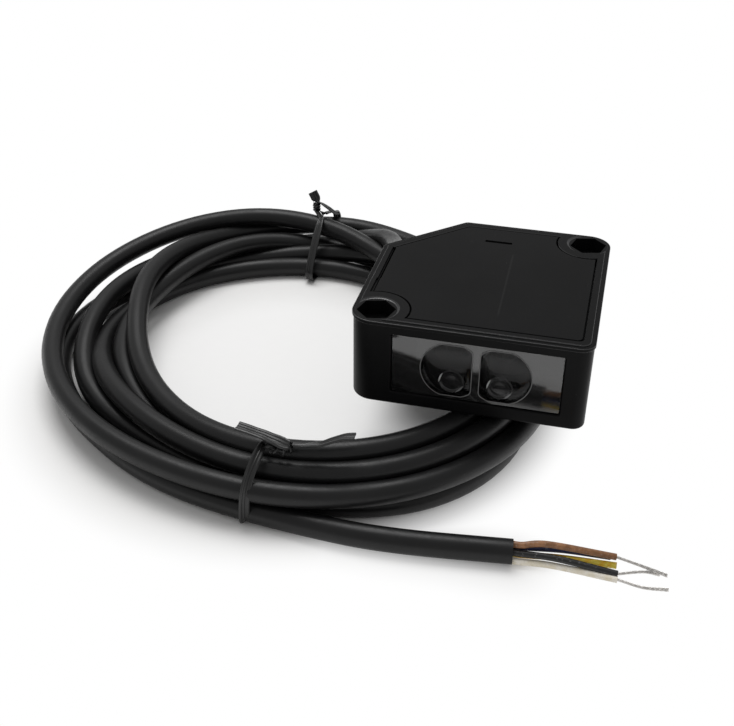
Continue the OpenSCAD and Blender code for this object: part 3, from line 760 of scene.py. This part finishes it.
def d_bar(name, side, grow, start, end):
    """Bar with the outline of a lens, from one depth to another."""
    x = OPTICS_X + LENS_X * side
    obj = bar(name, LENS_R + grow, (x, start, 0), (x, end, 0), 96)
    for point, way in (((OPTICS_X + side * (LENS_GAP / 2 - grow), 0, 0), (-side, 0, 0)),
                       ((0, 0, LENS_H / 2 + grow), (0, 0, 1)),
                       ((0, 0, -LENS_H / 2 - grow), (0, 0, -1))):
        slice_off(obj, point, way, FINE)
    for up in (-1, 1):
        heart = Vector((OPTICS_X + side * (LENS_GAP / 2 + CORNER_R), 0, up * CORNER_Z))
        for k in range(1, 7):
            a = k / 7 * CORNER_SWEEP
            way = Vector((-side * math.cos(a), 0, up * math.sin(a)))
            slice_off(obj, heart + (CORNER_R + grow) * way, way, FINE)
    take(obj)
    return obj


pane = slab("window_pane", (OPTICS_X - 17.5, PANE_Y, -6.8), (OPTICS_X + 17.5, PANE_BACK, 6.8))
pick(pane, lambda middle, way: abs(way.y) > 0.9, "EDGE")
bevel(0.35, 4)
pick(pane, lambda middle, way: abs(way.y) < 0.1 and middle.y < PANE_Y + 0.01, "EDGE")
bevel(0.08, 2)
cut_out(pane, [d_bar("opening", side, 0.02, PANE_BACK + 1, PANE_Y - 1) for side in (-1, 1)])
smooth(pane, 30, weighted=True)
areas = [bpy.data.materials.new(name) for name in ("area_pane", "area_lens", "area_rim")]
pane.data.materials.append(areas[0])

# %% Lenses of the window
RIM_W, RIM_Y, RIM_DEPTH = 0.19, -24.3, 0.42
LENS_W = LENS_R + LENS_X - LENS_GAP / 2
DOME = ((0.15, 0.0), (0.45, 0.3), (0.55, 0.2), (0.75, 0.15), (0.9, 0.1), (1.1, 0.06))


def draw_in(d, spent, centre):
    """Draws the picked lens outline in by d, when it has been drawn in by spent before."""
    w, h = LENS_W / 2 - spent, LENS_H / 2 - spent
    bpy.ops.transform.resize(value=((w - d) / w, 1, (h - d) / h), center_override=Vector(centre) * MM)


lenses = []
for side in (-1, 1):
    lens = d_bar("window_lens", side, 0, PANE_BACK, RIM_Y)
    for area in areas[1:]:
        lens.data.materials.append(area)
    centre = (OPTICS_X + side * (LENS_GAP + LENS_W) / 2, RIM_Y, 0)
    pick(lens, lambda middle, way: way.y < -0.99)
    pull((0, 0, 0))
    draw_in(RIM_W, 0, centre)
    pull((0, RIM_DEPTH, 0))
    spent = RIM_W
    for inwards, out in DOME:
        pull((0, -out, 0))
        draw_in(inwards, spent, centre)
        spent += inwards
    pick(lens, lambda middle, way: abs(middle.y - RIM_Y) < 0.01 and way.y < -0.9)
    lens.active_material_index = 1
    bpy.ops.object.material_slot_assign()
    smooth(lens, 50)
    lenses.append(lens)
print("Lens front stands", round(RIM_DEPTH - sum(out for _, out in DOME), 2), "mm behind its rim")

# %% Round elements seen in the lenses
ELEMENT_R, ELEMENT_DOWN = 2.75, -3.05
elements = []
for side in (-1, 1):
    x = OPTICS_X + LENS_X * side
    element = turned("lens_element_" + ("left" if side < 0 else "right"), (
        (ELEMENT_R, PANE_BACK - 0.05), (ELEMENT_R, -23.55), (ELEMENT_R - 0.05, -23.68),
        (ELEMENT_R - 0.18, -23.74), (ELEMENT_R - 0.34, -23.7), (ELEMENT_R - 0.5, -23.55),
        (ELEMENT_R - 0.8, -23.5), (ELEMENT_R - 1.6, -23.56), (0.3, -23.6),
    ), (x, 0, ELEMENT_DOWN), (0, 1, 0), 64)
    smooth(element, 50)
    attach(element, "sensor")
    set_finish(element, "diode_dark")
    elements.append(element)
take(pane)
for lens in lenses:
    lens.select_set(True)
bpy.ops.object.join()
finish_piece(pane, "front_window", "window_clear")
print("Window areas:", [slot.material.name for slot in pane.material_slots])

# %% [markdown]
# ## Shader maths
#
# Materials are made of nodes. Wiring them by hand in code is long, so one small class wraps a node's
# output: arithmetic on it adds Math nodes, and one method adds any other node. Everything follows
# Object coordinates, in metres, which stay with a piece when it moves.

# %% Sockets that can be calculated with
class Socket:
    """An output of a node, with arithmetic that makes Math nodes."""

    def __init__(self, tree, out=None):
        self.tree, self.out = tree, out

    def node(self, kind, inputs, picked=0, **settings):
        """Adds a node, sets it up, feeds its inputs and gives one of its outputs."""
        made = self.tree.nodes.new("ShaderNode" + kind)
        for key, value in settings.items():
            setattr(made, key, value)
        for key, value in inputs.items():
            if isinstance(value, Socket):
                self.tree.links.new(value.out, made.inputs[key])
            else:
                made.inputs[key].default_value = value
        return Socket(self.tree, made.outputs[picked])

    def math(self, operation, a, b=0.0):
        """One Math node on two numbers or sockets."""
        return self.node("Math", {0: a, 1: b}, operation=operation)

    def __add__(self, other):
        return self.math("ADD", self, other)

    def __sub__(self, other):
        return self.math("SUBTRACT", self, other)

    def __rsub__(self, other):
        return self.math("SUBTRACT", other, self)

    def __mul__(self, other):
        return self.math("MULTIPLY", self, other)

    __radd__, __rmul__ = __add__, __mul__

    def __truediv__(self, other):
        return self.math("DIVIDE", self, other)

    def size(self):
        return self.math("ABSOLUTE", self)

    def least(self, other):
        return self.math("MINIMUM", self, other)

    def most(self, other):
        return self.math("MAXIMUM", self, other)

    def sine(self):
        return self.math("SINE", self)

    def length(self, other):
        """Length of the diagonal of this and another number."""
        return self.math("SQRT", self * self + other * other)

    def ramp(self, low, high, start=0.0, end=1.0):
        """Goes smoothly from start to end while this goes from low to high."""
        return self.node("MapRange", {0: self, 1: low, 2: high, 3: start, 4: end},
                         interpolation_type="SMOOTHSTEP")

    def inside(self, middle, reach, soft):
        """1 within reach of the middle value, and 0 past a soft edge."""
        return (self - middle).size().ramp(reach, reach + soft, 1.0, 0.0)

    def noise(self, scale, detail=2.0, rough=0.5):
        """Cloudy noise with this many lumps to a metre, read at this place."""
        return self.node("TexNoise", {"Vector": self, "Scale": scale, "Detail": detail,
                                      "Roughness": rough})

    def part(self, axis):
        """One of the three numbers of this place."""
        return self.node("SeparateXYZ", {0: self}, picked=axis)

    def stretched(self, factors):
        """This place, with each number multiplied."""
        return self.node("VectorMath", {0: self, 1: factors}, operation="MULTIPLY")

    def mixed(self, a, b):
        """Colour a where this is 0 and b where it is 1."""
        return self.node("Mix", {0: self, 6: a, 7: b}, picked=2, data_type="RGBA")


print("Sockets can be added, multiplied, ramped and mixed")


# %% Materials from a recipe
def material(name, paint, **constants):
    """Principled material; paint(place) gives the inputs that vary, and constants the others."""
    made = bpy.data.materials.new(name)
    made.use_nodes = True
    shader = made.node_tree.nodes["Principled BSDF"]
    place = Socket(made.node_tree).node("TexCoord", {}, picked=3)
    inputs = {key.replace("_", " "): value for key, value in constants.items()} | paint(place)
    for key, value in inputs.items():
        if isinstance(value, Socket):
            made.node_tree.links.new(value.out, shader.inputs[key])
        else:
            shader.inputs[key].default_value = value
    return made


def bump(height, depth):
    """Relief whose lumps stand this many millimetres high."""
    return height.node("Bump", {"Height": height, "Distance": depth * MM})


def grey(value, tint=(1.0, 1.0, 1.0)):
    """A grey, or a weak colour where the tint isn't even."""
    return (*(value * t for t in tint), 1.0)


print("A material takes one function that paints a place")

# %% [markdown]
# ## Moulded plastics
#
# The housing, cover and gland are glass-filled black plastic: nearly black, with a fine eroded grain
# from the mould, a faint cool tint, slow cloudy changes of gloss and a few specks of dust. One flat
# black would look like a hole in the picture. Noise at three scales gives the grain, the clouds and the
# dust. The edges are the same plastic, smoother and shinier, and paler as a painted highlight. Chips,
# gasket, controls and lamps use the same recipe with other colours.

# %% Plastic
DUST = 0.22


def plastic(name, tone, rough, grain=0.25, depth=0.008, tint=(1.0, 1.0, 1.04), dust=0.3, extra=None,
            shine=0.3):
    """Moulded plastic of a tone, with its grain in millimetres."""
    def paint(place):
        cloud = place.noise(70, 3)
        fine = place.noise(1000 / grain, 3, 0.6)
        specks = place.noise(2300, 2, 0.7).ramp(0.735, 0.79) * dust
        base = cloud.ramp(0.3, 0.7).mixed(grey(tone * 0.85, tint), grey(tone * 1.15, tint))
        rough_here = fine.ramp(0.3, 0.7, rough - 0.04, rough + 0.04) + cloud * 0.06
        if extra:
            base, rough_here = extra(place, base, rough_here)
        return {
            "Base Color": specks.mixed(base, grey(DUST)), "Roughness": rough_here,
            "Normal": bump(fine, depth),
        }
    return material(name, paint, Specular_IOR_Level=shine)


def flow_line(place, base, rough):
    """A faint streak that the plastic left where it flowed in, with a few rubbed spots."""
    x, y = place.part(0), place.part(1)
    streak = (x + y * 0.019).inside(0.0043, 0.0001, 0.0002) * y.inside(-0.003, 0.0125, 0.002)
    rubbed = place.noise(420, 4, 0.7).ramp(0.66, 0.74)
    mark = streak * 0.13 + rubbed * 0.1
    return mark.mixed(base, grey(0.06)), rough - mark * 0.3


looks = {
    "housing_plastic": plastic("housing_plastic", 0.0045, 0.32, shine=0.08),
    "cover_plastic": plastic("cover_plastic", 0.0052, 0.32, extra=flow_line, shine=0.07),
    "gland_plastic": plastic("gland_plastic", 0.01, 0.5),
    "holder_black": plastic("holder_black", 0.012, 0.5, dust=0.1),
    "chip_black": plastic("chip_black", 0.02, 0.5, 0.12, 0.004),
    "gasket_rubber": plastic("gasket_rubber", 0.015, 0.75, 0.4),
    "control_pale": plastic("control_pale", 0.62, 0.45, 0.3, 0.004, (1, 0.98, 0.9), 0.05, shine=0.5),
    "adjuster_blue": plastic("adjuster_blue", 0.3, 0.4, 0.3, 0.004, (0.1, 0.3, 1), 0.05, shine=0.5),
}
# Edge finish: the paler base colour is a painted highlight; the low roughness and high shine give real
# gloss.
edge_finish = plastic("edge_finish", 0.02, 0.22, shine=0.6)
print("Plastics:", len(looks))

# %% [markdown]
# ## Cable, conductors and ties
#
# The jacket is soft black PVC with a satin sheen, so its highlights are wide and grey. Handling leaves
# it a little blotchy. The conductors have a mottled colour with small rubbed spots, because a plain
# colour on so thin a wire looks drawn. The ribbon of the ties is hard plastic.

# %% Jacket, insulation and ribbon
def insulation(name, low, high, rough=0.34):
    """Skin of a conductor, mottled between two colours."""
    def paint(place):
        mottle = place.noise(650, 4, 0.6)
        rub = place.noise(1900, 2, 0.6).ramp(0.62, 0.7)
        return {
            "Base Color": (rub * 0.25).mixed(mottle.ramp(0.35, 0.65).mixed(low, high), grey(0.5)),
            "Roughness": mottle.ramp(0.3, 0.7, rough, rough + 0.15),
            "Normal": bump(mottle, 0.03),
        }
    return material(name, paint)


def smudged(place, base, rough):
    """Blotches that handling left on the jacket."""
    blotch = place.noise(130, 4, 0.6).ramp(0.4, 0.7)
    return base, rough + blotch * 0.08


looks |= {
    "cable_jacket": plastic("cable_jacket", 0.0062, 0.34, 0.6, 0.006, extra=smudged, shine=0.33),
    "tie_ribbon": plastic("tie_ribbon", 0.012, 0.3, 0.5, 0.006, (1, 1, 1), 0.15, shine=0.5),
    "wire_brown_skin": insulation("wire_brown_skin", (0.2, 0.088, 0.032, 1), (0.36, 0.17, 0.075, 1)),
    "wire_blue_skin": insulation("wire_blue_skin", (0.004, 0.007, 0.045, 1), (0.012, 0.02, 0.09, 1)),
    "wire_black_skin": insulation("wire_black_skin", grey(0.005), grey(0.01)),
    "wire_white_skin": insulation("wire_white_skin", (0.85, 0.77, 0.6, 1), (0.97, 0.92, 0.82, 1)),
    "wire_yellow_skin": insulation("wire_yellow_skin", (1.0, 0.6, 0.03, 1), (1.0, 0.84, 0.12, 1)),
}
print("With cable and wires:", len(looks))

# %% [markdown]
# ## Clear parts
#
# Real glass would bend every ray and keep the lamps out of what lies behind it. Thin clear pieces look
# the same with less trouble as a dark shader that is mostly see-through: Alpha lets the inside show,
# and a high IOR gives back the reflection that the see-through share takes away. Faint wiping marks
# change the roughness. The rims of the lenses are frosted, so they are a matt grey. The round elements
# behind the lenses catch the light in two pale arcs, and those are painted on them.

# %% Clear plastic
def clear(name, alpha, ior, tint=(1, 1, 1), tone=0.01, rough=0.04):
    """Thin clear plastic; the lower its alpha, the more shows through it."""
    def paint(place):
        wiped = place.stretched((1, 0.2, 3)).noise(160, 3, 0.6)
        return {
            "Base Color": wiped.mixed(grey(tone, tint), grey(tone * 1.3, tint)),
            "Roughness": wiped.ramp(0.35, 0.75, rough, rough + 0.07),
        }
    return material(name, paint, Alpha=alpha, IOR=ior)


LENS_ALPHA = 0.3
lens_front = clear("lens_front", LENS_ALPHA, 1.6)
print("Share of what lies behind that the lenses show:", 1 - LENS_ALPHA)

# %% Glints and frosted rims
GLINT_R = 2.45


def glints(place, base, rough):
    """Painted highlights: two pale arcs on the round elements in the window, where they catch the
    light.
    """
    x, z = place.part(0) / MM, place.part(2) / MM - ELEMENT_DOWN
    x = x - x.ramp(OPTICS_X - 0.1, OPTICS_X + 0.1, OPTICS_X - LENS_X, OPTICS_X + LENS_X)
    front = place.part(1).ramp(-0.0229, -0.0228, 1.0, 0.0)
    ring = x.length(z).inside(GLINT_R, 0.14, 0.1) * front
    left = (z * 0.3 - x * 0.95).ramp(2.25, GLINT_R)
    right = (x * 0.75 - z * 0.66).ramp(2.2, GLINT_R) * 0.35
    return (ring * (left + right)).mixed(base, grey(0.9)), rough


def frosted(place):
    """Ground rim of a lens."""
    grain = place.noise(5200, 2)
    return {
        "Base Color": grain.mixed(grey(0.08), grey(0.16)), "Roughness": grain.ramp(0.3, 0.7, 0.3, 0.45),
    }


rim_frosted = material("rim_frosted", frosted)
print("Radius of the glints in mm:", GLINT_R)

# %% Window, lenses, filters and lamps
looks |= {
    "window_clear": clear("window_clear", 0.75, 2.1),
    "lens_clear": clear("lens_clear", 0.2, 1.9),
    "filter_sheet": clear("filter_sheet", 0.3, 1.5, tone=0.004, rough=0.2),
    "led_red_clear": plastic("led_red_clear", 0.02, 0.12, tint=(1.4, 0.8, 0.8), depth=0.001, shine=0.6),
    # The round elements carry painted highlights from glints.
    "diode_dark": plastic("diode_dark", 0.014, 0.12, depth=0.001, extra=glints, shine=0.6),
    "lamp_green": plastic("lamp_green", 0.16, 0.16, tint=(0.1, 1, 0.22), depth=0.002, dust=0,
                          shine=0.6),
    "lamp_red": plastic("lamp_red", 0.28, 0.16, tint=(1, 0.05, 0.04), depth=0.002, dust=0, shine=0.6),
}
print("With clear parts:", len(looks))

# %% [markdown]
# ## Metals and what is inside
#
# The boards, the transformer and the relay are closed in, and show only when the part is taken apart.
# They still get their finish: tinned strands with dark gaps, a green board with tracks, steel sheets,
# copper windings, and a can with fine drawing lines.

# %% Metals
def metal(name, tone, rough, tint=(1, 1, 1), lines=(1, 1, 1), scale=900, shine=1.0):
    """Bare metal, mottled or with drawing lines where the noise is stretched."""
    def paint(place):
        drawn = place.stretched(lines).noise(scale, 4, 0.6)
        return {
            "Base Color": drawn.ramp(0.3, 0.7).mixed(grey(tone * 0.75, tint), grey(tone * 1.1, tint)),
            "Roughness": drawn.ramp(0.3, 0.7, rough, rough + 0.15), "Normal": bump(drawn, 0.01),
        }
    return material(name, paint, Metallic=shine)


print("Metals can be mottled or drawn")


# %% Circuit board and transformer
WINDING = 12000  # radians to a metre, for the wires of the winding


def board(place):
    """Solder mask over copper tracks, which run in both directions."""
    tracks = place.stretched((1, 3, 1)).noise(260, 0).inside(0.5, 0.03, 0.01)
    across = place.stretched((3, 1, 1)).noise(240, 0).inside(0.5, 0.025, 0.01)
    copper = tracks.most(across)
    weave = place.noise(2500, 1)
    return {
        "Base Color": copper.mixed((0.012, 0.09, 0.03, 1), (0.04, 0.2, 0.07, 1)),
        "Roughness": weave.ramp(0.3, 0.7, 0.28, 0.4), "Normal": bump(copper * 0.5 + weave * 0.1, 0.04),
    }


def core_and_winding(place):
    """Steel sheets of the core, and the copper wire wound on its two sides."""
    away = (place.part(1) + 0.002).size()
    wound = away.ramp(0.0024, 0.0026)
    turns = (place.part(2) * WINDING).sine()
    sheets = (place.part(1) * 9000).sine()
    return {
        "Base Color": wound.mixed(grey(0.26), (0.45, 0.2, 0.06, 1)),
        "Metallic": wound.ramp(0, 1, 0.9, 0.6), "Roughness": turns.ramp(-1, 1, 0.3, 0.45),
        "Normal": bump(wound * turns + (1 - wound) * sheets, 0.06),
    }


print("Copper wires to a mm:", round(WINDING * MM / (2 * math.pi), 1))


# %% Capacitor and inner leads
def sleeve(place):
    """Blue shrink sleeve of the capacitor, with bare metal on its end."""
    top = place.part(2).ramp(0.0062, 0.0064)
    film = place.noise(900, 2)
    return {
        "Base Color": top.mixed((0.012, 0.025, 0.13, 1), grey(0.5)), "Metallic": top,
        "Roughness": film.ramp(0.3, 0.7, 0.25, 0.4), "Normal": bump(film, 0.02),
    }


def lead_colours(place):
    """Five skins side by side, told apart by their place across the row."""
    across = (place.part(0) + place.part(1)) * 0.7071
    blue, brown, yellow = (0.004, 0.007, 0.045, 1), (0.2, 0.11, 0.05, 1), (0.72, 0.5, 0.02, 1)
    colour = grey(0.012)
    for edge, after in ((-0.0048, blue), (-0.0026, brown), (-0.0006, grey(0.8)), (0.0014, yellow)):
        colour = across.ramp(edge - 0.0002, edge + 0.0002).mixed(colour, after)
    return {"Base Color": colour, "Roughness": place.noise(800, 2).ramp(0.3, 0.7, 0.32, 0.45)}


inner_lead_skins = material("inner_lead_skins", lead_colours)
print("Inner leads share one material:", inner_lead_skins.name)

# %% Finishes of what is inside
looks |= {
    "tinned_copper": metal("tinned_copper", 0.78, 0.3, (1, 0.97, 0.93), scale=1500),
    "tinned_steel": metal("tinned_steel", 0.6, 0.32, lines=(1, 1, 6)),
    "board_green": material("board_green", board),
    "core_steel": material("core_steel", core_and_winding),
    "capacitor_blue": material("capacitor_blue", sleeve),
    "relay_orange": plastic("relay_orange", 0.55, 0.3, tint=(1, 0.32, 0.04), depth=0.003, dust=0,
                            shine=0.5),
}
print("All finishes:", len(looks))

# %% [markdown]
# ## Dressing
#
# New pieces take the finish of the slot that they name. The housing and the window have a slot for each
# of their areas. A CAD part that stays gets its finish in its own material slots; its mesh is never
# touched.

# %% Dress every piece
for obj in (cable, *conductors, strands, front_tie, back_tie, cover, gland, *elements):
    obj.data.materials.clear()
    obj.data.materials.append(looks[obj["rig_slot"]])
for obj, finishes in ((housing, (looks["housing_plastic"], edge_finish)),
                      (pane, (looks["window_clear"], lens_front, rim_frosted))):
    for slot, finish in zip(obj.material_slots, finishes):
        slot.material = finish
for area in [m for m in bpy.data.materials if m.name.startswith("area_")]:
    bpy.data.materials.remove(area)
for name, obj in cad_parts.items():
    for slot in obj.material_slots:
        own = looks[slot.material.name.split(".")[0]]
        slot.material = inner_lead_skins if name == "inner_leads" else own
print("Window finishes:", [slot.material.name for slot in pane.material_slots])

# %% [markdown]
# ## Floor
#
# The photo has a white ground that keeps a soft grey-brown shadow close to the object. A floor lit to
# full white would need so much light that the black plastic turned grey. So the light stays plain, and
# further out the floor's colour goes over into pure white, for the camera and for reflections only.
#
# The mask measures how far a spot of the floor is from the ring of the coil, from the housing and from
# the cable's free end. In millimetres, it is negative below them. The middle of the coil gets a share
# of this painted white over its real shade, so it is lightened there but stays a little grey.

# %% Floor
floor = slab("floor", (-3000, -3000, GROUND - 2), (3000, 3000, GROUND))
ground = bpy.data.materials.new("floor_white")
ground.use_nodes = True
tree = ground.node_tree
start = Socket(tree)
place = start.node("TexCoord", {}, picked=3)
RING_AT, RING_R, RING_HALF = (-46, 1), 49, 13
BODY_X, BODY_R = -4, 17
TAIL_AT, TAIL_HALF, TAIL_R = (-14, -52), 28, 4
x, y = place.part(0) / MM, place.part(1) / MM
from_middle = (x - RING_AT[0]).length(y - RING_AT[1])
past_coil = (from_middle - RING_R).size() - RING_HALF
past_housing = (x - BODY_X).length(y) - BODY_R
past_tail = ((x - TAIL_AT[0]).size() - TAIL_HALF).most(0).length(y - TAIL_AT[1]) - TAIL_R
away = past_coil.least(past_housing).least(past_tail)
paths = [start.node("LightPath", {}, picked=name) for name in
         ("Is Camera Ray", "Is Glossy Ray", "Is Transmission Ray")]
seen = paths[0].most(paths[1]).most(paths[2])
# Painted white over the floor's real shading: none near the object, part of it in the middle of the
# coil, all of it further out.
white = seen * away.ramp(-7, 8) * from_middle.ramp(34, 50, 0.4, 1.0)
paper = place.noise(300, 3).mixed((0.92, 0.915, 0.905, 1), (0.95, 0.945, 0.935, 1))
matt = tree.nodes["Principled BSDF"]
matt.inputs["Roughness"].default_value = 0.9
matt.inputs["Specular IOR Level"].default_value = 0.1
tree.links.new(paper.out, matt.inputs["Base Color"])
mixed = start.node("MixShader", {0: white})
tree.links.new(matt.outputs[0], mixed.out.node.inputs[1])
bright = start.node("Emission", {"Color": grey(1), "Strength": 1.0})
tree.links.new(bright.out, mixed.out.node.inputs[2])
tree.links.new(mixed.out, tree.nodes["Material Output"].inputs[0])
floor.data.materials.append(ground)
print("Floor at", GROUND, "mm")

# %% [markdown]
# ## Light
#
# A large soft lamp hangs over the object, a little behind and to the left, and the room gives a weak
# even light. That makes the wide grey highlights along the cable and the thin bright lines on the
# rounded edges.

# %% World and lamp
ROOM_LIGHT = 0.45
world = bpy.data.worlds.new("world")
world.use_nodes = True
world.node_tree.nodes["Background"].inputs[0].default_value = (1, 1, 1, 1)
world.node_tree.nodes["Background"].inputs[1].default_value = ROOM_LIGHT
bpy.context.scene.world = world


def soft_lamp(name, place, aim, width, depth, radiance):
    """Rectangular lamp that faces a point; radiance is its brightness, 1 being white."""
    lamp = bpy.data.objects.new(name, bpy.data.lights.new(name, "AREA"))
    lamp.data.shape = "RECTANGLE"
    lamp.data.size, lamp.data.size_y = width, depth
    lamp.data.energy = radiance * math.pi * width * depth
    lamp.location = place
    lamp.rotation_euler = (Vector(aim) - Vector(place)).to_track_quat("-Z", "Y").to_euler()
    bpy.context.scene.collection.objects.link(lamp)
    print(name, "watts:", round(lamp.data.energy, 2))


# Places in metres.
soft_lamp("overhead", (-0.16, 0.2, 0.56), (-0.02, 0, 0), 0.4, 0.4, 4.4)
bpy.context.scene.view_settings.view_transform = "Standard"

# %% [markdown]
# ## Last step
#
# Everything is let go at the end.

# %% Let go of everything
take()
